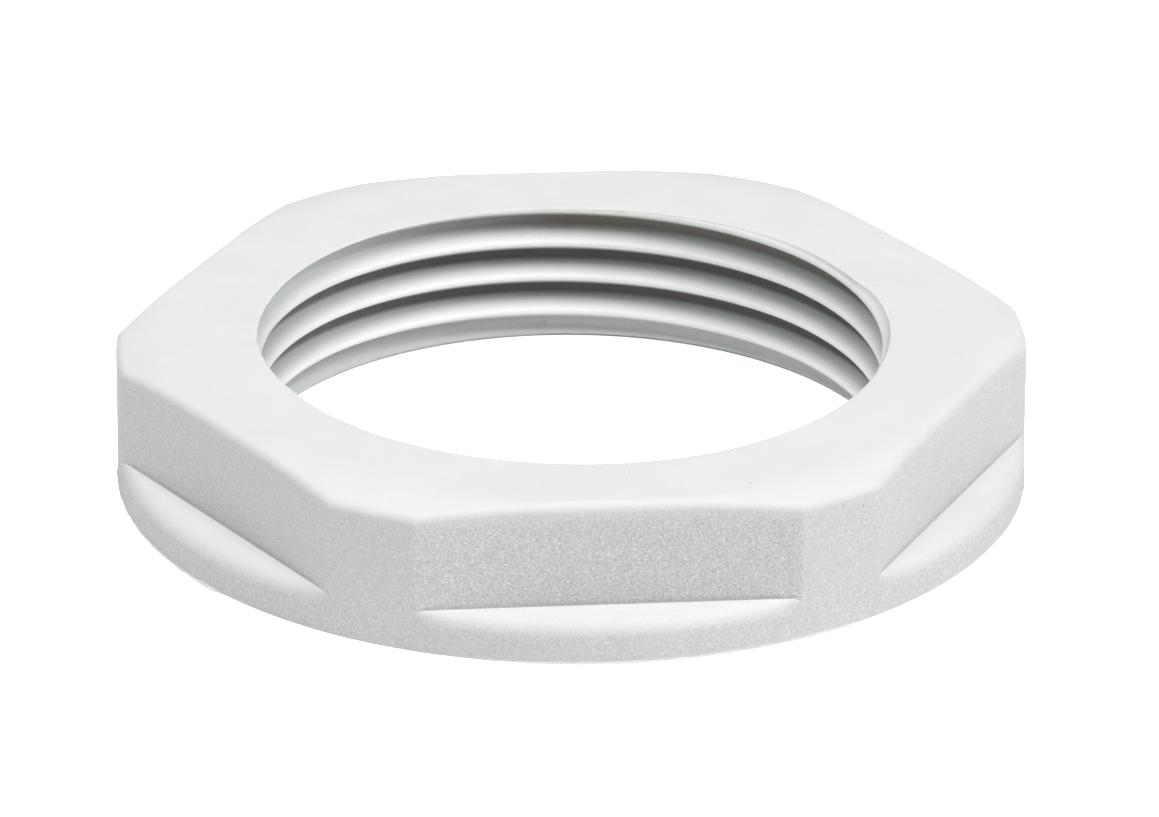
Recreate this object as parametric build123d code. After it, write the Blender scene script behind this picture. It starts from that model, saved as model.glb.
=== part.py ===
from build123d import *
import math
import os

# Cable gland locknut, moulded in one piece: a round flange, a hexagon on it and an
# internal thread right through. Sizes are in millimetres. The origin is the middle
# of the bearing face, +Z runs up the thread axis, and one flat of the hexagon faces -Y.

# Hexagon and flange: the wall is what stands between the thread's groove and a flat,
# and makes the hexagon 32 mm across flats
wall_at_flats = 3.425
ledge_width = 1.5
flange_thickness = 1.75
hexagon_height = 3.85

# Crown: the top is level up to the crown inset, then falls away to the six corners
crown_inset = 0.4
crown_slope_angle = 13.0
corner_slope_angle = 18.0

# Rounded edges: the ledge's rounding fades out before the ledge ends in a point
top_edge_radius = 0.45
ledge_edge_radius = 0.9
ledge_edge_largest_share = 0.6
ledge_edge_run_out = 0.3
ledge_edge_stand_off = 0.02

# Thread: metric, right-hand, cut by the moulding core with wide crests
thread_diameter = 25.0
thread_pitch = 1.5
thread_root_clearance = 0.15
thread_crest_width = 0.4
thread_root_width = 0.38
thread_flank_angle = 30.0
groove_start_height = 0.08

# Lead-in cone of the thread, in the bearing face
lead_in_margin = 0.05
lead_in_angle = 45.0

# Reach of a cutting solid past the face that it cuts
overcut = 0.5
groove_overcut = 0.15

# Places worked out from the sizes above
hexagon_sides = 6
half_turn_of_side = 180 / hexagon_sides
flank_slope = math.tan(math.radians(thread_flank_angle))
groove_mouth_width = thread_pitch - thread_crest_width
thread_depth = (groove_mouth_width - thread_root_width) / (2 * flank_slope)
root_radius = (thread_diameter + thread_root_clearance) / 2
crest_radius = root_radius - thread_depth
mouth_radius = root_radius + lead_in_margin
flat_distance = root_radius + wall_at_flats
flange_radius = flat_distance + ledge_width
half_flat = math.sqrt(flange_radius**2 - flat_distance**2)
nut_height = flange_thickness + hexagon_height
crown_slope = math.tan(math.radians(crown_slope_angle))
flat_top_height = nut_height - crown_inset * crown_slope
corner_drop = ledge_width * crown_slope
standing = (Align.CENTER, Align.CENTER, Align.MIN)


def turned(points):
    """Solid turned about the thread axis from a closed run of (radius, height)."""
    return revolve(Plane.XZ * make_face(Polyline(*points, close=True)), Axis.Z)


def rounded_section(points):
    """Flat section with its highest outer corner, the nut's top edge, rounded."""
    section = make_face(Polyline(*points, close=True))
    outer_corners = section.vertices().sort_by(Axis.X)[-2:]
    return Plane.XZ * fillet(outer_corners.sort_by(Axis.Y)[-1], top_edge_radius)


def crowned_side():
    """Ring that ends in one flat, with its rounded top edge and the crown behind it.

    It is turned about an axis far below the nut and square to the flat. So the edge
    is highest at the middle of the flat and drops towards both corners.
    """
    turn_radius = (half_flat**2 + corner_drop**2) / (2 * corner_drop)
    back = -flange_radius - overcut
    section = rounded_section(
        [
            (back, -overcut),
            (flat_distance, -overcut),
            (flat_distance, flat_top_height),
            (back, flat_top_height + (flat_distance - back) * crown_slope),
        ]
    )
    return revolve(section, Axis((0, 0, flat_top_height - turn_radius), (1, 0, 0)))


def corner_form():
    """Turned form that the six corners share, with its rounded top edge."""
    corner_height = flat_top_height - corner_drop
    inset = (nut_height - corner_height) / math.tan(math.radians(corner_slope_angle))
    section = rounded_section(
        [
            (0, 0),
            (flange_radius, 0),
            (flange_radius, corner_height),
            (flange_radius - inset, nut_height),
            (0, nut_height),
        ]
    )
    return revolve(section, Axis.Z)


def hexagon():
    """Crowned hexagon over the full height, with its corners on the flange's circle."""
    body = corner_form()
    side = crowned_side()
    for index in range(hexagon_sides):
        body &= Rot(0, 0, (2 * index + 1) * half_turn_of_side) * side
    return body


def ledge_edge_cutter():
    """Ring that rounds the outer edge of the ledge on the +X side.

    Its axis lies far behind the ledge. So the rounding has its full radius at the
    middle of the ledge and fades out towards both ends, where the ledge is narrow.
    """
    radius = min(ledge_edge_radius, ledge_edge_largest_share * ledge_width)
    end_y = half_flat - ledge_edge_run_out
    end_x = math.sqrt(flange_radius**2 - end_y**2)
    front_x = flange_radius + ledge_edge_stand_off
    depth = front_x - end_x
    turn_radius = (end_y**2 + depth**2 - radius**2) / (2 * (depth - radius))
    tube_height = flange_thickness - radius
    corner = Rectangle(radius, radius, align=(Align.MIN, Align.MIN))
    section = Pos(turn_radius - radius, tube_height) * (corner - Circle(radius))
    return Pos(front_x - turn_radius, 0, 0) * revolve(Plane.XZ * section, Axis.Z)


def thread_groove_turn():
    """One turn of the thread's groove, from just below the bearing face upwards."""
    inner_radius = crest_radius - groove_overcut
    inner_half = groove_mouth_width / 2 + groove_overcut * flank_slope
    root_half = thread_root_width / 2
    corners = [
        (inner_radius, -inner_half),
        (root_radius, -root_half),
        (root_radius, root_half),
        (inner_radius, inner_half),
    ]
    start = groove_start_height - thread_pitch
    helices = [
        Edge.make_helix(thread_pitch, thread_pitch, radius, center=(0, 0, start + height))
        for radius, height in corners
    ]
    sides = [
        Face.make_surface_from_curves(helices[i - 1], helices[i]) for i in range(len(helices))
    ]
    ends = [
        make_face(Polyline(*[helix @ end for helix in helices], close=True)).face()
        for end in (0, 1)
    ]
    return Solid(Shell(sides + ends))


def lead_in():
    """Cutter of the lead-in cone, from below the bearing face to inside the crests."""
    slope = math.tan(math.radians(lead_in_angle))
    tip_radius = crest_radius - overcut
    tip_height = (mouth_radius - tip_radius) / slope
    return turned(
        [
            (0, -overcut),
            (mouth_radius + overcut * slope, -overcut),
            (tip_radius, tip_height),
            (0, tip_height),
        ]
    )


def locknut():
    """The whole nut: flange and hexagon, then the bore, its lead-in and its thread."""
    flange = Cylinder(flange_radius, flange_thickness, align=standing)
    nut = flange + hexagon()
    rounding = ledge_edge_cutter()
    for side in range(hexagon_sides):
        nut -= Rot(0, 0, (2 * side + 1) * half_turn_of_side) * rounding
    nut -= Cylinder(crest_radius, nut_height, align=standing)
    nut -= lead_in()
    groove = thread_groove_turn()
    turns_below_and_above = 2
    for turn in range(math.ceil(nut_height / thread_pitch) + turns_below_and_above):
        nut -= Pos(0, 0, turn * thread_pitch) * groove
    return nut


os.makedirs("parts", exist_ok=True)
export_step(locknut(), "parts/locknut.step")
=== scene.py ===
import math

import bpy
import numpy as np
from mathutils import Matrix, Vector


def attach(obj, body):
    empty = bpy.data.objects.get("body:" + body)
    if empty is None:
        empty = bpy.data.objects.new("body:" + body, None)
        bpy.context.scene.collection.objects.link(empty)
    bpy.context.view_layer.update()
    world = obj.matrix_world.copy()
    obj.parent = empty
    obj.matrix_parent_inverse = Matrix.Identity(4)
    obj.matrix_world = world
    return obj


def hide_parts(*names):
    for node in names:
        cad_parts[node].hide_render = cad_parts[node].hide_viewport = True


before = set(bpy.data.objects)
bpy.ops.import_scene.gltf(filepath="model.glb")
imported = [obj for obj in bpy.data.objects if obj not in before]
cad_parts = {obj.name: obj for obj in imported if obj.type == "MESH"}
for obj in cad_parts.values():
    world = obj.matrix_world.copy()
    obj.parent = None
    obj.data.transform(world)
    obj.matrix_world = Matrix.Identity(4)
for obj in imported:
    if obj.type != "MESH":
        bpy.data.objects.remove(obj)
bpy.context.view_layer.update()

# %% [markdown]
# A cable gland locknut is a flat plastic ring nut: a round flange, a low hexagon on it
# and a thread right through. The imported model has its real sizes, and this file gives it
# its looks. The part is only 35 mm wide, so its finish is made of things that are
# a tenth of a millimetre small: rounded edges, the thin lip of plastic that the mould
# leaves, and the fine grain of the mould's walls.

# %% [markdown]
# ## The camera
# A long lens from about a third of a metre away makes a small part look calm: the near
# and the far side come out almost equally large. The camera could be aimed by hand, but
# here it is worked out: a distance, a height above the table and a turn to the side
# around one point in the middle of the nut. It was held by hand a hair off level, so it
# also gets a roll of a third of a degree.

# %% The camera and the point that it looks at
CAMERA_DISTANCE = 0.33775
CAMERA_ELEVATION = math.radians(24.23)
CAMERA_TURN = math.radians(-5.09)
CAMERA_ROLL = math.radians(0.33)
CAMERA_LENS = 271.97
LOOKED_AT_HEIGHT = 0.002452
LOOKED_AT_SIDEWAYS = 0.000317

camera_right = Vector((math.cos(CAMERA_TURN), math.sin(CAMERA_TURN), 0))
camera_back = Vector((
    math.sin(CAMERA_TURN) * math.cos(CAMERA_ELEVATION),
    -math.cos(CAMERA_TURN) * math.cos(CAMERA_ELEVATION),
    math.sin(CAMERA_ELEVATION),
))
looked_at = Vector((0, 0, LOOKED_AT_HEIGHT)) + camera_right * LOOKED_AT_SIDEWAYS

camera = bpy.data.objects.new("camera", bpy.data.cameras.new("camera"))
bpy.context.scene.collection.objects.link(camera)
camera.location = looked_at + camera_back * CAMERA_DISTANCE
camera_up = camera_back.cross(camera_right)
rolled_right = math.cos(CAMERA_ROLL) * camera_right + math.sin(CAMERA_ROLL) * camera_up
rolled_up = camera_back.cross(rolled_right)
camera.rotation_euler = Matrix((rolled_right, rolled_up, camera_back)).transposed().to_euler()
camera.data.sensor_width = 36
camera.data.lens = CAMERA_LENS
camera.data.clip_start = 0.01
camera.data.clip_end = 50
bpy.context.scene.camera = camera
print("camera at", [round(v, 4) for v in camera.location])

# %% [markdown]
# ## The sizes
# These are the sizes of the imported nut, in millimetres, which is the handiest unit for
# a small part. The mesh is scaled to metres at the very end. A few differ a little, as on
# any moulded part: the top stands a sixth of a millimetre higher, the thread's pitch has
# shrunk with the plastic by 2.5 percent, and the hexagon sits a hair off the flange's
# middle, because two mould halves form them.

# %% Sizes of the nut in millimetres
FLAT = 16.0
FLANGE = 17.5
FLANGE_TOP = 1.75
NUT_TOP = 5.76
TOP_EDGE_IN, TOP_EDGE_DOWN = 0.45, 0.4
CROWN_SLOPE = math.tan(math.radians(13))
PITCH = 1.463
CREST = 11.9515
ROOT = 12.575
MOUTH = 12.625
FIRST_GROOVE = 0.289
HEXAGON_MIDDLE = (0, 0.05)

side_middles = np.radians(-90 + 60 * np.arange(6))
side_flats = FLAT + np.cos(side_middles) * HEXAGON_MIDDLE[0] + np.sin(side_middles) * HEXAGON_MIDDLE[1]
side_halves = np.arccos(side_flats / FLANGE)
half_flat = math.sqrt(FLANGE**2 - FLAT**2)
print("the flats lie", side_flats.round(2), "mm from the axis")

# %% [markdown]
# ## The columns
# The nut is made as one sheet of points, like a map that is wrapped round it. A column
# goes once round the section: under the nut, up the outside, over the top and down
# through the thread. The columns stand closer together beside the upright edges of the
# hexagon, because a sharp edge needs close points and a straight flat hardly any.

# %% Angles of the columns round the nut
def crowded_ends(count, crowding=0.5):
    """Steps from 0 to 1, closer together near both ends."""
    t = np.arange(count) / count
    return t - crowding * np.sin(2 * math.pi * t) / (2 * math.pi)


FLAT_COLUMNS, CORNER_COLUMNS = 130, 30
angles = []
for middle, half, next_half in zip(side_middles, side_halves, np.roll(side_halves, -1)):
    corner = math.pi / 3 - half - next_half
    angles += list(middle - half + 2 * half * crowded_ends(FLAT_COLUMNS))
    angles += list(middle + half + corner * crowded_ends(CORNER_COLUMNS))
angles = np.array(angles + [angles[0] + 2 * math.pi])

side = np.round((angles - side_middles[0]) / (math.pi / 3)).astype(int)
off_middle = angles - side_middles[0] - side * math.pi / 3
flat, half_side = side_flats[side % 6], side_halves[side % 6]
degrees = np.degrees(angles) % 360
print(len(angles), "columns, the closest", round(FLANGE * np.diff(angles).min(), 3), "mm apart")

# %% [markdown]
# ## The outline of the hexagon
# Seen from above, the hexagon's corners are cut round by the flange's circle. The mould
# was milled and then eroded, so an upright edge isn't perfectly sharp. A smooth minimum
# of the straight flat and the circle gives just that: the smaller of the two, with
# a little blend where they meet.

# %% Distance of the hexagon's wall from the axis
def smooth_least(a, b, blend):
    """The smaller of two values, blended where they are nearly the same."""
    low = np.minimum(a, b)
    return low - blend * np.log1p(np.exp(-np.abs(a - b) / blend))


WALL_BLEND = 0.008
wall = smooth_least(flat / np.cos(off_middle), FLANGE, WALL_BLEND)
wall = np.minimum(wall, FLANGE)
print("the wall lies", round(wall.min(), 2), "to", round(wall.max(), 2), "mm from the axis")

# %% [markdown]
# ## The flange and its ledges
# Where a flat is cut back, a narrow ledge of the flange shows in front of it. Its outer
# edge is rounded all along. Where the ledge is wide the rounding is wide too, and at both
# ends it takes up the whole ledge, so that the ledge ends like a tongue and not in
# a sharp point. A quarter of an ellipse with its own width and height in each column
# makes both.

# %% The rounding of the ledges, as heights and distances from the axis
EDGE_WIDEST, EDGE_TALLEST, EDGE_TALL_AT_TIP = 0.8, 0.64, 0.3
LEDGE_SUNK, TIP_DROP = 0.09, 0.14
EDGE_GROWS_OVER, TIP_LENGTH = 0.3, 0.07

ledge = FLANGE - wall
edge_width = EDGE_WIDEST * np.tanh(ledge / EDGE_WIDEST)
growth = np.tanh(ledge / EDGE_GROWS_OVER)
edge_height = EDGE_TALL_AT_TIP + (EDGE_TALLEST - EDGE_TALL_AT_TIP) * growth
ledge_top = FLANGE_TOP - LEDGE_SUNK - TIP_DROP * np.exp(-ledge / TIP_LENGTH)


def ledge_rounding(share):
    """One row of the rounding: share 1 is at the flange's side and 0 on the ledge."""
    lean = share * math.pi / 2
    r = FLANGE - edge_width * (1 - math.sin(lean))
    return r, ledge_top - edge_height * (1 - math.cos(lean))


print("the ledges are up to", round(float(ledge.max()), 2), "mm wide")

# %% [markdown]
# ## The lip at the bottom edge
# The two halves of the mould meet at the bearing face. A little plastic creeps between
# them and stays as a paper-thin lip, mostly a few hundredths of a millimetre wide, that
# comes and goes round the edge. Each pair below is an angle and the lip's reach there.

# %% Reach and height of the lip round the nut
LIP_REACH = [
    (0, 0.03), (22, 0.05), (58, 0.05), (60, 0), (101, 0), (103, 0.05), (149, 0.06), (178, 0.04),
    (205, 0.05), (211, 0.07), (213.5, 0.13), (215.5, 0.1), (217.5, 0.0), (252, 0), (256, 0.03),
    (262, 0.05), (263, 0.075), (268, 0.06), (274, 0.07), (275, 0.05), (283, 0.055), (284, 0.07),
    (291, 0.05), (296, 0.06), (300.6, 0.07), (301.4, 0), (331, 0), (336, 0.04), (360, 0.03),
]
lip = np.interp(degrees, *zip(*LIP_REACH))
lip_ripple = sum(np.sin(n * angles + phase) for n, phase in ((61, 0.3), (97, 1.9), (143, 4.1)))
LIP_UNEVEN = 0.18
lip = lip * (1 + LIP_UNEVEN * lip_ripple)
LIP_THICK = 0.045
print("the lip reaches out", round(float(lip.max()), 3), "mm at most")

# %% [markdown]
# ## The crown
# The top isn't quite flat. It is level round the bore and falls away to the six corners,
# so that a spanner's jaws slide on. The fall is that of a wide cone beside each flat,
# and a smooth minimum melts it into the level part.

# %% Height of the top face
CROWN_BLEND = 0.012
corner_drop = (FLANGE - FLAT) * CROWN_SLOPE
crown_turn = (half_flat**2 + corner_drop**2) / (2 * corner_drop)


def top_height(r):
    """Height of the crowned top at a distance from the axis, for every column."""
    x, y = r * np.cos(off_middle), r * np.sin(off_middle)
    ring = crown_turn + (flat - x) * CROWN_SLOPE
    return smooth_least(NUT_TOP - crown_turn + np.sqrt(ring**2 - y**2), NUT_TOP, CROWN_BLEND)


print("the top falls by", round(NUT_TOP - float(top_height(wall).min()), 2), "mm to the corners")

# %% [markdown]
# ## The thread
# An internal thread is one groove that winds up through the bore. Across it the form is
# the same everywhere, so it is drawn once: a run of corners that are rounded a little.
# The numbers of a corner are its height from the groove's middle, its depth, how much of
# its sides the rounding takes, and the rounding's steps.

# %% Section of one turn of the thread
DEPTH = ROOT - CREST
THREAD_CORNERS = [
    (0.58, 0, 0.02, 2), (0.19, DEPTH, 0.06, 1), (-0.18, DEPTH, 0.1, 3), (-0.73, 0, 0.11, 4),
]


def rounded_corners(corners):
    """Points along the thread's section, with a small curve at each corner."""
    made, count = [], len(corners)
    for i, (height, depth, cut, steps) in enumerate(corners):
        here = np.array((height, depth))
        before = corners[i - 1] if i else (corners[-1][0] + PITCH, 0)
        after = corners[i + 1] if i + 1 < count else (corners[0][0] - PITCH, 0)
        for t in np.linspace(0, 1, steps + 1):
            away = [np.array(other[:2]) - here for other in (before, after)]
            a, b = [here + cut * d / np.linalg.norm(d) for d in away]
            made.append((1 - t) ** 2 * a + 2 * t * (1 - t) * here + t**2 * b)
    return np.array(made)


turn_section = rounded_corners(THREAD_CORNERS)
print("one turn of the thread has", len(turn_section), "points")

# %% [markdown]
# The groove rises by one pitch in each turn, so a point of the section becomes a row
# that climbs round the bore. Above the rim and below the bearing face the rows are cut
# off: there all their points fall together in one, and are merged later.

# %% Radius of the bore at any height
TURNS_LAID = range(6, -3, -1)
turns_up = angles / (2 * math.pi)
section_heights = np.concatenate([turn_section[:, 0] + n * PITCH for n in TURNS_LAID])
section_depths = np.tile(turn_section[:, 1], len(TURNS_LAID))
groove_height = FIRST_GROOVE + PITCH * turns_up


def bore_radius(z):
    """Radius of the threaded bore at a height, for every column."""
    depth = np.interp(z - groove_height, section_heights[::-1], section_depths[::-1])
    return np.maximum(CREST + depth, MOUTH - z)


print("the bore is", round(2 * float(bore_radius(3 + 0 * angles).min()), 2), "mm wide")

# %% [markdown]
# ## The rim
# Where the groove runs out through the top face it would leave an edge as thin as paper.
# On the real nut the plastic has crept over the groove there, so the rim stays near the
# crests all round. It draws back on the right, where the groove begins, and on the left,
# where the thin edge was torn ragged as the threaded core was unscrewed. The pairs are
# angles and how far out the rim may lie. A slight wave keeps it from looking machined.

# %% Radius and depth of the rim
RIM_REACH = [
    (0, 12.26), (12, 12.26), (20, 12.06), (60, 12.13), (110, 12.0), (160, 11.97), (180, 12.1),
    (204, 12.05), (268, 12.35), (290, 12.43), (342, 12.19), (360, 12.26),
]
RIM_DEPTH = [(0, 0.03), (20, 0.05), (100, 0.05), (130, 0.02), (255, 0.02), (270, 0.04), (360, 0.03)]
RAGGED_FROM, RAGGED_TO, RAGGED_BY = 157, 182, 0.035
RIM_WAVE = 0.003


def teeth(turns, phase):
    """Uneven teeth between -1 and 1 round the rim."""
    return 2 * np.abs(2 * ((turns * angles / (2 * math.pi) + phase) % 1) - 1) - 1


ragged = np.clip(np.minimum(degrees - RAGGED_FROM, RAGGED_TO - degrees), 0, 1)
ragged = ragged * RAGGED_BY * (0.5 * teeth(131, 0.2) + 0.3 * teeth(223, 0.6) + 0.3 * teeth(71, 0.4))
rim_depth = np.interp(degrees, *zip(*RIM_DEPTH))
rim_low = NUT_TOP - rim_depth
rim_radius = np.minimum(bore_radius(rim_low), np.interp(degrees, *zip(*RIM_REACH)) + ragged)
rim_radius = rim_radius + RIM_WAVE * np.sin(97 * angles) * np.sin(31 * angles + 1)
print("the rim's radius goes from", round(rim_radius.min(), 2), "to", round(rim_radius.max(), 2), "mm")

# %% [markdown]
# ## The rows
# Now the rows are laid one after the other round the section. Each holds the distance
# from the axis and the height for every column, and three numbers for the colour: how
# strongly the mould's grain shows there, how much painted shade it gets deep in the
# thread or in a hollow, and how much painted light it gets on a crest.

# %% A row, and the rows of the bearing face and the lip
EDGE_GRAIN, LEDGE_SMOOTHER = 0.65, 0.5
TOP_GRAIN, THREAD_GRAIN = 0.08, 0.2
level = np.zeros_like(angles)
rows, grains, shelters, crests = [], [], [], []


def lay(r, z, grain, shelter=0.0, crest=0.0):
    """One more row round the section."""
    rows.append((level + r, level + z))
    for kept, value in ((grains, grain), (shelters, shelter), (crests, crest)):
        kept.append(level + value)


for r in (MOUTH, 13.6, 15.0, 16.4):
    lay(r, 0, 0.35)
lay(FLANGE + lip - 0.05, 0, 0.3)
lay(FLANGE + lip - 0.008, 0.008, 0.1)
lay(FLANGE + lip, 0.6 * LIP_THICK, 0)
lay(FLANGE + 0.85 * lip, LIP_THICK, 0)
lay(FLANGE + 0.15 * lip, LIP_THICK + 0.2 * lip, 0)
print(len(rows), "rows under the nut and round its lip")

# %% Rows of the flange and the rounding of the ledges
flange_foot, flange_head = LIP_THICK + 0.6 * lip, ledge_rounding(1)[1]
for share, grain in ((0, 0.3), (0.12, 0.7), (0.5, 0.7)):
    lay(FLANGE, flange_foot + share * (flange_head - flange_foot), grain)
on_ledge = np.clip(ledge / EDGE_GROWS_OVER, 0, 1)
for share in np.linspace(1, 0, 9):
    lay(*ledge_rounding(share), EDGE_GRAIN - LEDGE_SMOOTHER * on_ledge * (1 - share**3))
print(len(rows), "rows up to the ledges")

# %% [markdown]
# The hexagon's walls stand on the ledges in a small hollow curve, because a sharp inner
# corner would tear the plastic. At the top they go over into the crown in a quarter of
# an ellipse, which is a little wider than it is high. A thin line of painted shade lies in the hollow.

# %% Rows of the ledge, the wall and the rounded top edge
# The second number is how strong the line of painted shade at the foot of the walls is.
HOLLOW, FOOT_SHADE = 0.03, 0.2
SIDE_GRAIN, FRONT_GRAIN = 0.6, 1
TOP_EDGE_GRAIN, TOP_EDGE_FADES = 0.4, 0.6
foot_shade = FOOT_SHADE * on_ledge
for lean in np.radians((0, 45, 90)):
    outer = np.minimum(wall + HOLLOW * (1 - math.sin(lean)), rows[-1][0])
    foot_height = ledge_top + HOLLOW * (1 - math.cos(lean))
    foot_grain = EDGE_GRAIN - LEDGE_SMOOTHER * on_ledge * math.cos(lean)
    lay(outer, foot_height, foot_grain, foot_shade * math.sin(lean))
last_lean = math.atan(TOP_EDGE_DOWN / (TOP_EDGE_IN * CROWN_SLOPE))
slant = np.where(np.abs(off_middle) > half_side + 1e-6, 1, np.cos(off_middle))
edge_inside = wall - TOP_EDGE_IN * (1 - math.cos(last_lean)) / slant
wall_foot = ledge_top + HOLLOW
wall_top = top_height(edge_inside) - TOP_EDGE_DOWN * math.sin(last_lean)
on_front = (np.abs(off_middle) <= half_side + 1e-6) & (side % 6 == 0)
wall_grain = np.where(on_front, FRONT_GRAIN, SIDE_GRAIN)
# The lowest rows of the wall carry a little of that painted shade too.
for share, foot_shade_share in ((0.02, 0.7), (0.06, 0), (0.5, 0), (0.88, 0)):
    lay(wall, wall_foot + share * (wall_top - wall_foot), wall_grain, foot_shade * foot_shade_share)
for lean in np.linspace(0, last_lean, 8):
    inside = TOP_EDGE_IN * (1 - math.cos(lean)) / slant
    edge_grain = TOP_GRAIN + TOP_EDGE_GRAIN * max(0, 1 - lean / TOP_EDGE_FADES)
    lay(wall - inside, wall_top + TOP_EDGE_DOWN * math.sin(lean), edge_grain)
print(len(rows), "rows up to the crown")

# %% Rows of the crown, the level top and the rim
LEVEL_WITHIN = 14.9
for share in (0.15, 0.35, 0.6, 0.85, 1):
    r = edge_inside + share * (LEVEL_WITHIN - edge_inside)
    lay(r, top_height(r), TOP_GRAIN)
for r in (rim_radius + 0.9, rim_radius + 0.25):
    lay(r, NUT_TOP, TOP_GRAIN)
for lean in np.radians((90, 60, 30, 0)):
    lay(rim_radius + rim_depth * (1 - math.cos(lean)), rim_low + rim_depth * math.sin(lean), 0)
print(len(rows), "rows up to the rim")

# %% [markdown]
# Down through the thread, a straight piece of the section may cross the lead-in cone at
# the bottom. Each such piece gets one more point, which slides to the crossing. So the
# cone's edge comes out clean, although the rows climb and the cone doesn't. The painted shade
# of a place fades near the white table, which throws light up, and where no crest is above.

# %% Rows of the thread and the lead-in cone
def lay_in_bore(height, depth, shelter, crest, cover):
    """A row of the thread, kept between the bearing face and the rim."""
    z = groove_height + height
    r = np.maximum(CREST + depth, MOUTH - z)
    r, z = np.where(z > rim_low, rim_radius, r), np.minimum(z, rim_low)
    covered = np.clip((rim_low + COVER_FADE / 2 - groove_height - cover) / COVER_FADE, 0, 1)
    off_table = np.clip((z - TABLE_LIGHT_TO) / TABLE_LIGHT_FADE, 0.1, 1)
    near_rim = np.interp(z, RIM_LIGHT_FROM, RIM_LIGHT)
    # Painted shade deep in the grooves.
    sheltered = shelter * (off_table * near_rim * facing_away * covered)
    # Painted light on the crests and on the flanks below them.
    painted_lighter = crest * facing_away**CREST_LIGHT_FADE
    lay(np.where(z < 0, MOUTH, r), np.maximum(z, 0), THREAD_GRAIN, sheltered, painted_lighter)


COVER_FADE, TABLE_LIGHT_TO, TABLE_LIGHT_FADE = 0.2, 0.5, 0.9
RIM_LIGHT_FROM, RIM_LIGHT = (4.2, 4.9), (1, 0.86)
CREST_LIGHT_FADE = 4
SHELTER_FROM, SHELTER_FULL = -0.32, -0.12
# Heights in a turn, and how much painted light makes the crest or flank there paler.
CREST_LIGHT_AT = [
    (-0.9, 0.8), (-0.72, 0.8), (-0.62, 0.15), (-0.5, 0.25), (-0.32, 0.9), (-0.16, 0),
    (0.5, 0), (0.58, 0.8),
]
# Round the bore, the painted shade and the painted light of the thread are weaker on the left.
facing_away = np.interp(degrees, (0, 110, 180, 200, 340, 360), (1, 1, 0.8, 0.8, 1, 1))
print("the crests are rubbed at", len(CREST_LIGHT_AT), "heights of a turn")

# %% The shelter and the rubbing of each row, and the rows themselves
STRAIGHT_PIECE, LEAD_IN_BELOW = 0.1, 1.5
# How much painted shade each point of a turn gets.
shelter = np.interp(turn_section[:, 0], (SHELTER_FROM, SHELTER_FULL, 0.55, 0.58), (0, 1, 1, 0))
turns = len(TURNS_LAID)
section_shelters = np.tile(shelter * np.clip(turn_section[:, 1] / 0.1, 0, 1), turns)
section_crests = np.tile(np.interp(turn_section[:, 0], *zip(*CREST_LIGHT_AT)), turns)
section_covers = section_heights - np.tile(turn_section[:, 0], turns) + THREAD_CORNERS[0][0]
steps = list(zip(section_heights, section_depths, section_shelters, section_crests, section_covers))
for before, after in zip(steps, steps[1:] + steps[-1:]):
    lay_in_bore(*before)
    if before[0] - after[0] > STRAIGHT_PIECE and before[0] < LEAD_IN_BELOW:
        there = CREST + before[1] + groove_height + before[0]
        fall = (before[0] + before[1]) - (after[0] + after[1])
        slide = np.clip((there - MOUTH) / fall, 0, 1)
        lay_in_bore(*[a + slide * (b - a) for a, b in zip(before, after)])
print(len(rows), "rows in all")

# %% [markdown]
# ## The mesh
# Points that fall together become one point, and a face that loses a side that way
# becomes a triangle or vanishes. The seam where the first and the last column meet
# closes in the same step, and the sheet becomes one closed skin.

# %% From rows to a closed mesh
row_r = np.array([r for r, _ in rows])
row_z = np.array([z for _, z in rows])
points = np.stack([row_r * np.cos(angles), row_r * np.sin(angles), row_z], axis=-1)
row_count, column_count = row_r.shape

KEYS_PER_MM = 2000
keys = np.round(points.reshape(-1, 3) * KEYS_PER_MM).astype(np.int64)
_, first_of, point_of = np.unique(keys, axis=0, return_index=True, return_inverse=True)
point_of = point_of.reshape(row_count, column_count)

faces = []
for row in range(row_count):
    below, above = point_of[row], point_of[(row + 1) % row_count]
    quads = np.stack([below[:-1], below[1:], above[1:], above[:-1]], axis=-1)
    for quad in quads[(quads[:, 0] != quads[:, 3]) | (quads[:, 1] != quads[:, 2])].tolist():
        face = [v for i, v in enumerate(quad) if v != quad[i - 1]]
        if len(set(face)) > 2:
            faces.append(face)

nut_mesh = bpy.data.meshes.new("locknut_skin")
nut_mesh.from_pydata((points.reshape(-1, 3)[first_of] * 0.001).tolist(), [], faces)
nut_mesh.shade_smooth()
for name, values in (("grain", grains), ("shelter", shelters), ("crest", crests)):
    layer = nut_mesh.attributes.new(name, "FLOAT", "POINT")
    layer.data.foreach_set("value", np.array(values).ravel()[first_of].astype(np.float32))
nut = bpy.data.objects.new("locknut_skin", nut_mesh)
bpy.context.scene.collection.objects.link(nut)
print(len(nut_mesh.vertices), "points and", sum(len(f) - 2 for f in faces), "triangles")

# %% [markdown]
# ## The plastic
# The nut is moulded in light grey polyamide. Its colour goes right through, so what changes
# over the surface is the skin that the mould gave it, a few specks, and painted shade and
# painted light in the thread, in the hollows and on a few grains. The top is almost smooth,
# the walls carry the fine grain of a mould that was eroded by sparks, and the thread was
# shaped by a polished core. Each effect is a node group of its own, which can be tried
# with other values in another material.

# %% Helpers for shader nodes
def add(tree, kind, **settings):
    """A node of one kind, with its settings made and its sockets filled."""
    made = tree.nodes.new("ShaderNode" + kind)
    for name, value in settings.items():
        if name in made.inputs:
            made.inputs[name].default_value = value
        else:
            setattr(made, name, value)
    return made


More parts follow.
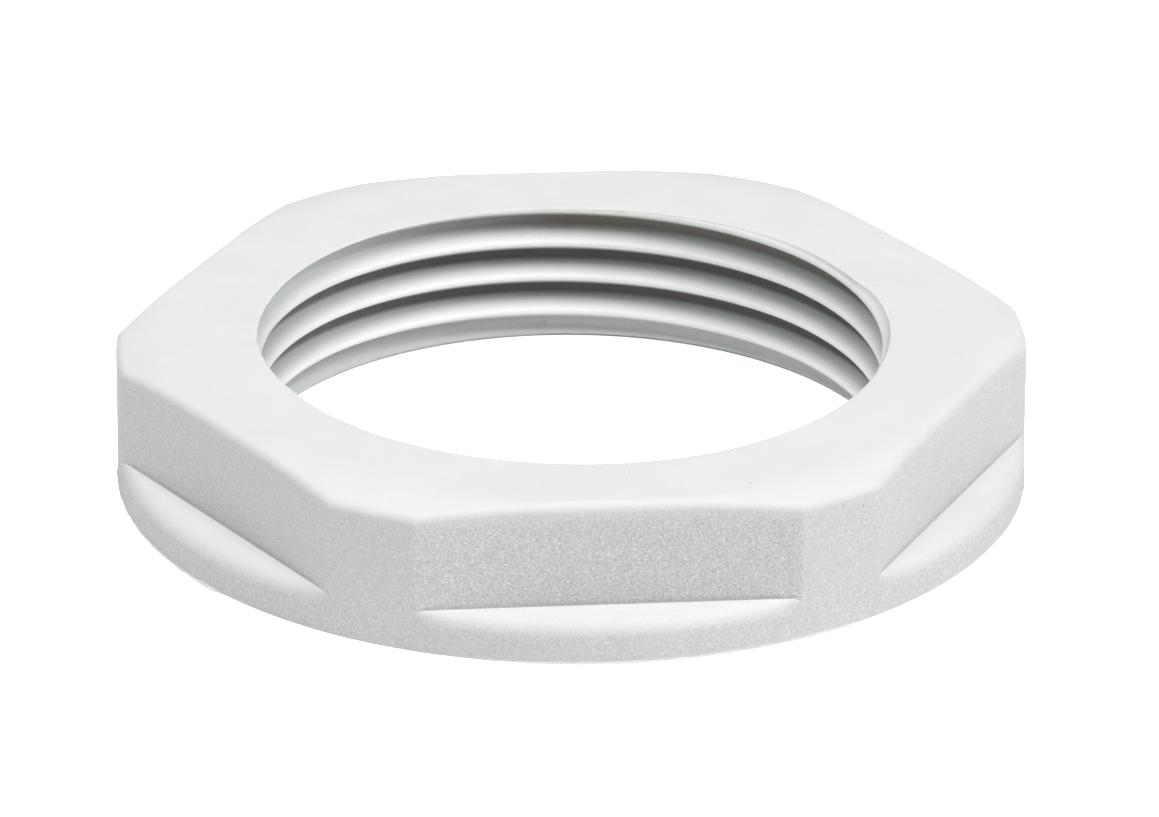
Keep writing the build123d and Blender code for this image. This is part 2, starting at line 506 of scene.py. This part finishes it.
def new_group(name, inputs, outputs):
    """An empty node group with named sockets, as (tree, inputs, outputs)."""
    tree = bpy.data.node_groups.new(name, "ShaderNodeTree")
    for label, kind, value in inputs:
        socket = tree.interface.new_socket(label, in_out="INPUT", socket_type=kind)
        if value is not None:
            socket.default_value = value
    for label, kind in outputs:
        tree.interface.new_socket(label, in_out="OUTPUT", socket_type=kind)
    return tree, tree.nodes.new("NodeGroupInput"), tree.nodes.new("NodeGroupOutput")


print("node helpers are ready")

# %% [markdown]
# ### The grain of a spark-eroded mould
# Sparks leave a field of tiny craters, each under a tenth of a millimetre across, and
# the plastic copies them as tiny bumps. One noise of that size makes the bumps, and
# a coarser one picks out a few that get a painted glint, a painted highlight in the colour.

# %% The grain as a node group
grain_group, entry, exit_ = new_group(
    "spark grain",
    [("Place", "NodeSocketVector", None), ("Bump Size", "NodeSocketFloat", 0.1)],
    [("Height", "NodeSocketFloat"), ("Painted Glint", "NodeSocketFloat")],
)
per_mm = add(grain_group, "Math", operation="DIVIDE")
per_mm.inputs[0].default_value = 1000
grain_group.links.new(entry.outputs["Bump Size"], per_mm.inputs[1])
craters = add(grain_group, "TexNoise", Detail=2.0, Roughness=0.6, Distortion=1.2)
grain_group.links.new(entry.outputs["Place"], craters.inputs["Vector"])
grain_group.links.new(per_mm.outputs[0], craters.inputs["Scale"])
wider = add(grain_group, "Math", operation="MULTIPLY")
wider.inputs[1].default_value = 0.8
grain_group.links.new(per_mm.outputs[0], wider.inputs[0])
# A coarser noise picks the grains that get a painted glint, a painted highlight.
painted_glint_noise = add(grain_group, "TexNoise", Detail=3.0, Roughness=0.7, Distortion=0.4)
grain_group.links.new(entry.outputs["Place"], painted_glint_noise.inputs["Vector"])
grain_group.links.new(wider.outputs[0], painted_glint_noise.inputs["Scale"])
picked = add(grain_group, "MapRange", interpolation_type="SMOOTHSTEP")
picked.inputs["From Min"].default_value = 0.49
picked.inputs["From Max"].default_value = 0.66
grain_group.links.new(painted_glint_noise.outputs["Fac"], picked.inputs["Value"])
grain_group.links.new(craters.outputs["Fac"], exit_.inputs["Height"])
grain_group.links.new(picked.outputs["Result"], exit_.inputs["Painted Glint"])
print("made the group", grain_group.name)

# %% [markdown]
# ### Clouds in the colour
# The plastic flows into the mould in streams that cool a little differently. That leaves
# very soft clouds in the grey, a few millimetres wide.

# %% The clouds as a node group
cloud_group, entry, exit_ = new_group(
    "flow clouds",
    [("Place", "NodeSocketVector", None), ("Cloud Size", "NodeSocketFloat", 3.0)],
    [("Shade", "NodeSocketFloat")],
)
per_mm = add(cloud_group, "Math", operation="DIVIDE")
per_mm.inputs[0].default_value = 1000
cloud_group.links.new(entry.outputs["Cloud Size"], per_mm.inputs[1])
clouds = add(cloud_group, "TexNoise", Detail=4.0, Roughness=0.55, Distortion=0.6)
cloud_group.links.new(entry.outputs["Place"], clouds.inputs["Vector"])
cloud_group.links.new(per_mm.outputs[0], clouds.inputs["Scale"])
cloud_group.links.new(clouds.outputs["Fac"], exit_.inputs["Shade"])
print("made the group", cloud_group.name)

# %% [markdown]
# ### Specks and nicks
# A nut that has lain in a bag with many others carries a few specks of dirt, and nicks
# where another nut's edge has hit it. Each is a blurred spot at one place, with a width
# for each direction, so a spot can also be a scratch. A noise frays its outline.

# %% One speck as a node group
speck_group, entry, exit_ = new_group(
    "speck",
    [("Place", "NodeSocketVector", None), ("Middle", "NodeSocketVector", (0, 0, 0)),
     ("Widths", "NodeSocketVector", (1, 1, 1)), ("Darkness", "NodeSocketFloat", 1.0)],
    [("Mask", "NodeSocketFloat")],
)
away = add(speck_group, "VectorMath", operation="SUBTRACT")
speck_group.links.new(entry.outputs["Place"], away.inputs[0])
speck_group.links.new(entry.outputs["Middle"], away.inputs[1])
sized = add(speck_group, "VectorMath", operation="DIVIDE")
speck_group.links.new(away.outputs[0], sized.inputs[0])
speck_group.links.new(entry.outputs["Widths"], sized.inputs[1])
length = add(speck_group, "VectorMath", operation="LENGTH")
speck_group.links.new(sized.outputs[0], length.inputs[0])
fray = add(speck_group, "TexNoise", Scale=12000.0, Detail=1.0)
speck_group.links.new(entry.outputs["Place"], fray.inputs["Vector"])
frayed = add(speck_group, "Math", operation="MULTIPLY_ADD")
frayed.inputs[1].default_value = 0.9
speck_group.links.new(fray.outputs["Fac"], frayed.inputs[0])
speck_group.links.new(length.outputs["Value"], frayed.inputs[2])
spot = add(speck_group, "MapRange", interpolation_type="SMOOTHSTEP")
for label, value in (("From Min", 1.25), ("From Max", 0.75), ("To Min", 0.0)):
    spot.inputs[label].default_value = value
speck_group.links.new(frayed.outputs[0], spot.inputs["Value"])
speck_group.links.new(entry.outputs["Darkness"], spot.inputs["To Max"])
speck_group.links.new(spot.outputs["Result"], exit_.inputs["Mask"])
print("made the group", speck_group.name)

# %% [markdown]
# ### The polyamide
# The groups meet in one material. What the mesh knows about each place, its grain, its
# shelter and whether it is on a crest, comes in as attributes. The grain moves the bump,
# the roughness and a little of the colour, and gives a few grains painted glints. Deep in the
# thread the colour is darker, painted shade where a soft light hardly gets there, and in the
# highest groove that painted shade is lighter and browner, painted warm light shining through
# the thin plastic. The crests are paler, painted light on them.

# %% The grey polyamide
polyamide = bpy.data.materials.new("grey_polyamide")
polyamide.use_nodes = True
tree = polyamide.node_tree
shader = tree.nodes["Principled BSDF"]
place = add(tree, "TexCoord").outputs["Object"]
grain_here = add(tree, "Attribute", attribute_name="grain").outputs["Fac"]
shelter_here = add(tree, "Attribute", attribute_name="shelter").outputs["Fac"]
crest_here = add(tree, "Attribute", attribute_name="crest").outputs["Fac"]

grain = add(tree, "Group", node_tree=grain_group)
grain.inputs["Bump Size"].default_value = 0.075
tree.links.new(place, grain.inputs["Place"])
cloud = add(tree, "Group", node_tree=cloud_group)
cloud.inputs["Cloud Size"].default_value = 2.5
tree.links.new(place, cloud.inputs["Place"])
print("grains of", grain.inputs["Bump Size"].default_value, "mm")


# %% Its colour
def mixed(tree, share, a, b):
    """A colour between two others, each given as a colour or a socket."""
    made = add(tree, "Mix", data_type="RGBA")
    for socket, value in ((made.inputs[0], share), (made.inputs[6], a), (made.inputs[7], b)):
        if hasattr(value, "is_output"):
            tree.links.new(value, socket)
        else:
            socket.default_value = value
    return made.outputs[2]


def reckoned(tree, operation, a, b, c=0.0):
    """A Math node on sockets or numbers."""
    made = add(tree, "Math", operation=operation)
    for socket, value in zip(made.inputs, (a, b, c)):
        if hasattr(value, "is_output"):
            tree.links.new(value, socket)
        else:
            socket.default_value = value
    return made.outputs[0]


GREY_LIGHT = (0.675, 0.672, 0.655, 1)
GREY_DARK = (0.63, 0.63, 0.62, 1)
GRAIN_PIT = (0.44, 0.445, 0.435, 1)
# The light speck colour is a painted glint on a few grains.
PAINTED_GLINT = (0.84, 0.86, 0.86, 1)
# The pale colour of the crests is painted light.
PAINTED_CREST_LIGHT = (0.93, 0.93, 0.91, 1)
# The near-black colour is painted shade, deep in the grooves and in the hollows.
PAINTED_SHADE = (0.052, 0.047, 0.041, 1)
# The brown colour is painted shade too, lighter and warm high in the bore, as painted light shining
# through the thin plastic.
WARM_PAINTED_SHADE = (0.085, 0.064, 0.045, 1)
PAINTED_GLINT_SHARE, CREST_LIGHT_SHARE, SHELTER_SHARE = 0.8, 0.8, 0.92
WARM_SHADE_FROM, WARM_SHADE_FULL = 0.0043, 0.005
colour = mixed(tree, cloud.outputs["Shade"], GREY_DARK, GREY_LIGHT)
pits = add(tree, "MapRange")
for label, value in (("From Min", 0.55), ("From Max", 0.4), ("To Min", 0.0), ("To Max", 0.75)):
    pits.inputs[label].default_value = value
tree.links.new(grain.outputs["Height"], pits.inputs["Value"])
colour = mixed(tree, reckoned(tree, "MULTIPLY", pits.outputs[0], grain_here), colour, GRAIN_PIT)
# Painted glints on a few grains, as painted highlights.
painted_glints = reckoned(tree, "MULTIPLY", grain.outputs["Painted Glint"], PAINTED_GLINT_SHARE)
painted_glints = reckoned(tree, "MULTIPLY", painted_glints, grain_here)
colour = mixed(tree, painted_glints, colour, PAINTED_GLINT)
# Painted light makes the crests paler.
colour = mixed(tree, reckoned(tree, "MULTIPLY", crest_here, CREST_LIGHT_SHARE), colour, PAINTED_CREST_LIGHT)
high_up = add(tree, "MapRange")
for label, value in (("From Min", WARM_SHADE_FROM), ("From Max", WARM_SHADE_FULL)):
    high_up.inputs[label].default_value = value
height_here = add(tree, "SeparateXYZ")
tree.links.new(place, height_here.inputs[0])
tree.links.new(height_here.outputs["Z"], high_up.inputs["Value"])
# Painted shade, lighter and browner high in the bore.
sheltered = mixed(tree, high_up.outputs["Result"], PAINTED_SHADE, WARM_PAINTED_SHADE)
colour = mixed(tree, reckoned(tree, "MULTIPLY", shelter_here, SHELTER_SHARE), colour, sheltered)
print("the colour goes from", GREY_DARK[:3], "to", GREY_LIGHT[:3])

# %% Its specks and nicks: middle and widths in mm, and darkness
SPECKS = [
    ((17.12, -2.3, 1.58), (0.07, 0.07, 0.07), 0.9), ((16.81, -2.84, 3.26), (0.05, 0.05, 0.12), 0.35),
    ((9.58, -14.65, 4.74), (0.08, 0.08, 0.1), 0.4), ((8.81, -15.12, 5.03), (0.05, 0.05, 0.2), 0.3),
    ((11.49, -12.05, 4.79), (0.06, 0.06, 0.06), 0.3), ((11.45, 3.6, 5.76), (0.1, 0.22, 0.1), 0.5),
    ((11.34, 4.0, 5.76), (0.08, 0.12, 0.1), 0.4), ((11.6, 3.19, 5.76), (0.12, 0.12, 0.1), 0.45),
    ((12.17, 3.44, 5.76), (0.3, 0.06, 0.1), 0.25), ((9.35, 7.47, 5.76), (0.12, 0.08, 0.1), 0.35),
    ((5.37, -14.51, 5.76), (0.1, 0.1, 0.1), 0.25), ((-8.26, -14.01, 5.76), (0.2, 0.05, 0.1), 0.2),
    ((1.0, -13.2, 5.76), (0.04, 0.4, 0.1), 0.15),
]
DIRT = (0.16, 0.15, 0.14, 1)
dirty = 0.0
for middle, widths, darkness in SPECKS:
    speck = add(tree, "Group", node_tree=speck_group)
    speck.inputs["Middle"].default_value = [0.001 * v for v in middle]
    speck.inputs["Widths"].default_value = [0.001 * v for v in widths]
    speck.inputs["Darkness"].default_value = darkness
    tree.links.new(place, speck.inputs["Place"])
    dirty = reckoned(tree, "MAXIMUM", speck.outputs["Mask"], dirty)
colour = mixed(tree, dirty, colour, DIRT)
tree.links.new(colour, shader.inputs["Base Color"])
print(len(SPECKS), "specks and nicks")

# %% Its roughness and its bumps
rough = reckoned(tree, "MULTIPLY_ADD", grain_here, 0.12, 0.54)
rough = reckoned(tree, "MULTIPLY_ADD", cloud.outputs["Shade"], 0.1, rough)
tree.links.new(rough, shader.inputs["Roughness"])
shader.inputs["Specular IOR Level"].default_value = 0.4
bump = add(tree, "Bump", Distance=0.00003, Strength=1.0)
height = reckoned(tree, "MULTIPLY", grain.outputs["Height"], grain_here)
tree.links.new(height, bump.inputs["Height"])
tree.links.new(bump.outputs["Normal"], shader.inputs["Normal"])
nut_mesh.materials.append(polyamide)

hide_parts("locknut")
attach(nut, "root")
print("the nut is dressed in", polyamide.name)

# %% [markdown]
# ## The table
# The nut lies on a plain white table. The table does half of the lighting: it throws
# light up against the sides of the nut, which no lamp from above would reach. So it is
# made far larger than the picture needs. It is photographed so brightly that even the
# shadows on it are lost in white, and a glow that only the camera sees does the same here.

# %% The table top
FLOOR_HALF = 4
FLOOR_GAP = 0.00002
FLOOR_CORNERS = ((-1, -1), (1, -1), (1, 1), (-1, 1))
floor_mesh = bpy.data.meshes.new("table_top")
floor_mesh.from_pydata(
    [(x * FLOOR_HALF, y * FLOOR_HALF, -FLOOR_GAP) for x, y in FLOOR_CORNERS],
    [], [(0, 1, 2, 3)],
)
floor = bpy.data.objects.new("table_top", floor_mesh)
bpy.context.scene.collection.objects.link(floor)
table_white = bpy.data.materials.new("table_white")
table_white.use_nodes = True
floor_shader = table_white.node_tree.nodes["Principled BSDF"]
floor_shader.inputs["Base Color"].default_value = (0.9, 0.9, 0.9, 1)
floor_shader.inputs["Roughness"].default_value = 0.9
floor_shader.inputs["Specular IOR Level"].default_value = 0.1
floor_shader.inputs["Emission Color"].default_value = (1, 1, 1, 1)
camera_sees = add(table_white.node_tree, "LightPath").outputs["Is Camera Ray"]
table_white.node_tree.links.new(camera_sees, floor_shader.inputs["Emission Strength"])
floor_mesh.materials.append(table_white)
print("the table is", 2 * FLOOR_HALF, "m wide")

# %% [markdown]
# ## The light
# One soft box hangs steeply above, a little in front of the nut. From there it lights the
# thread's upper flanks and leaves the grooves under the crests in the dark, so that the
# thread reads clearly. Two boxes on the right make the right side lighter than the left one,
# and two weak ones soften the rest. The lowest box and the left one are a little bluer. Each
# box is given by its direction round the nut, its height as an angle, its width in metres
# and its power in watts.

# %% The soft boxes
BOX_DISTANCE = 0.8


def soft_box(name, turn, height, width, power, colour=(1, 1, 1)):
    """A square lamp that faces the nut from the distance of the boxes."""
    turn, height = math.radians(turn), math.radians(height)
    level_part = math.cos(height)
    away = Vector((level_part * math.cos(turn), level_part * math.sin(turn), math.sin(height)))
    lamp = bpy.data.lights.new(name, "AREA")
    lamp.size, lamp.energy, lamp.color = width, power, colour
    thing = bpy.data.objects.new(name, lamp)
    bpy.context.scene.collection.objects.link(thing)
    thing.location = BOX_DISTANCE * away
    thing.rotation_euler = (-away).to_track_quat("-Z", "Y").to_euler()
    print(name, "with", power, "W")


soft_box("front_box", -90, 74, 0.35, 5.0, (1, 0.96, 0.95))
soft_box("right_box", -30, 50, 0.4, 2.2, (0.97, 1, 0.99))
soft_box("right_low_box", -10, 22, 0.4, 1.7, (0.84, 0.96, 1))
soft_box("left_box", 210, 50, 0.4, 1.2, (0.78, 0.96, 1))
soft_box("back_box", 135, 45, 0.4, 2.0)

# %% [markdown]
# The room is white where the camera sees it and black as a light, because the
# soft boxes alone shape the nut. The light path tells the two apart.

# %% The room
ROOM_GLOW = 1.1
room = bpy.data.worlds.new("white_room")
bpy.context.scene.world = room
room.use_nodes = True
room_light = room.node_tree.nodes["Background"]
room_light.inputs["Color"].default_value = (1, 1, 1, 1)
seen = add(room.node_tree, "LightPath")
strength = add(room.node_tree, "MapRange")
strength.inputs["To Max"].default_value = ROOM_GLOW
room.node_tree.links.new(seen.outputs["Is Camera Ray"], strength.inputs["Value"])
room.node_tree.links.new(strength.outputs["Result"], room_light.inputs["Strength"])
bpy.context.scene.view_settings.view_transform = "Standard"
print("the room is ready")
